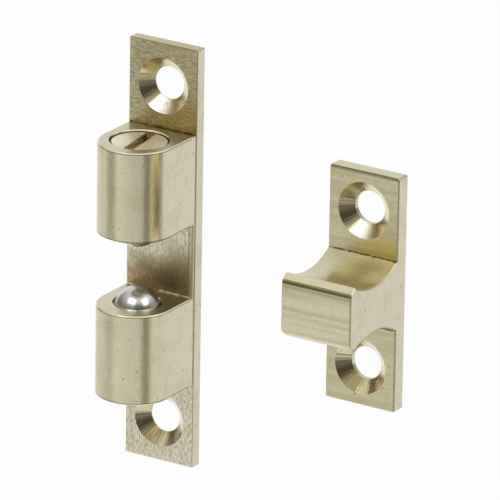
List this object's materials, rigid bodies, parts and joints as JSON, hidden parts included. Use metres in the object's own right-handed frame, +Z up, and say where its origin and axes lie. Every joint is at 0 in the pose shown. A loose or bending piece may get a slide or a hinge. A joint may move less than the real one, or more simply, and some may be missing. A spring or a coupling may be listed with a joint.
{
  "type": "double ball catch",
  "caption": "Brass double ball catch: sprung steel balls face each other across a gap in the catch body, and a separate strike's waisted tongue snaps between them.",
  "frame": {"origin": "middle of the catch body's flat back face, on the centre line of its two screw holes", "axes": "+Z runs up the catch along both bores, -Y is the way the catch and the strike face, +X is to the right seen from the front"},
  "size_m": [0.0431, 0.0139, 0.06],
  "materials": {
    "body_brass": "milled from drawn bar, finely brushed and bright",
    "strike_brass": "milled from drawn bar, finely brushed and bright",
    "ball_steel": "polished bearing steel",
    "spring_steel": "drawn spring wire",
    "screw_brass": "turned"
  },
  "bodies": {
    "catch": {"catch_body": "body_brass", "strike_plate": "strike_brass"},
    "upper_ball": {"upper_ball": "ball_steel"},
    "lower_ball": {"lower_ball": "ball_steel"},
    "upper_spring_seat": {"upper_spring": "spring_steel"},
    "lower_spring_seat": {"lower_spring": "spring_steel"},
    "upper_screw": {"upper_adjusting_screw": "screw_brass"},
    "lower_screw": {"lower_adjusting_screw": "screw_brass"}
  },
  "joints": [
    {"name": "upper_ball_slide", "type": "slide", "parent": "catch", "child": "upper_ball", "axis": [0, 0, 1], "range_m": [0, 0.002], "stiffness_N_per_m": 4700, "springref_m": -0.0025, "deforming": ["upper_spring"]},
    {"name": "upper_screw_travel", "type": "slide", "parent": "catch", "child": "upper_spring_seat", "axis": [0, 0, 1], "range_m": [-0.000937, 0], "deforming": ["upper_spring"]},
    {"name": "upper_screw_turn", "type": "hinge", "parent": "upper_spring_seat", "child": "upper_screw", "pos_m": [0, -0.0075, 0.01625], "axis": [0, 0, 1], "range_deg": [-450, 0]},
    {"name": "lower_ball_slide", "type": "slide", "parent": "catch", "child": "lower_ball", "axis": [0, 0, -1], "range_m": [0, 0.002], "stiffness_N_per_m": 4700, "springref_m": -0.0025, "deforming": ["lower_spring"]},
    {"name": "lower_screw_travel", "type": "slide", "parent": "catch", "child": "lower_spring_seat", "axis": [0, 0, -1], "range_m": [-0.000937, 0], "deforming": ["lower_spring"]},
    {"name": "lower_screw_turn", "type": "hinge", "parent": "lower_spring_seat", "child": "lower_screw", "pos_m": [0, -0.0075, -0.01625], "axis": [0, 0, -1], "range_deg": [-450, 0]}
  ],
  "couplings": [
    {"joint": "upper_screw_turn", "follows": "upper_screw_travel", "rad_per_m": 8377.6},
    {"joint": "lower_screw_turn", "follows": "lower_screw_travel", "rad_per_m": 8377.6}
  ]
}
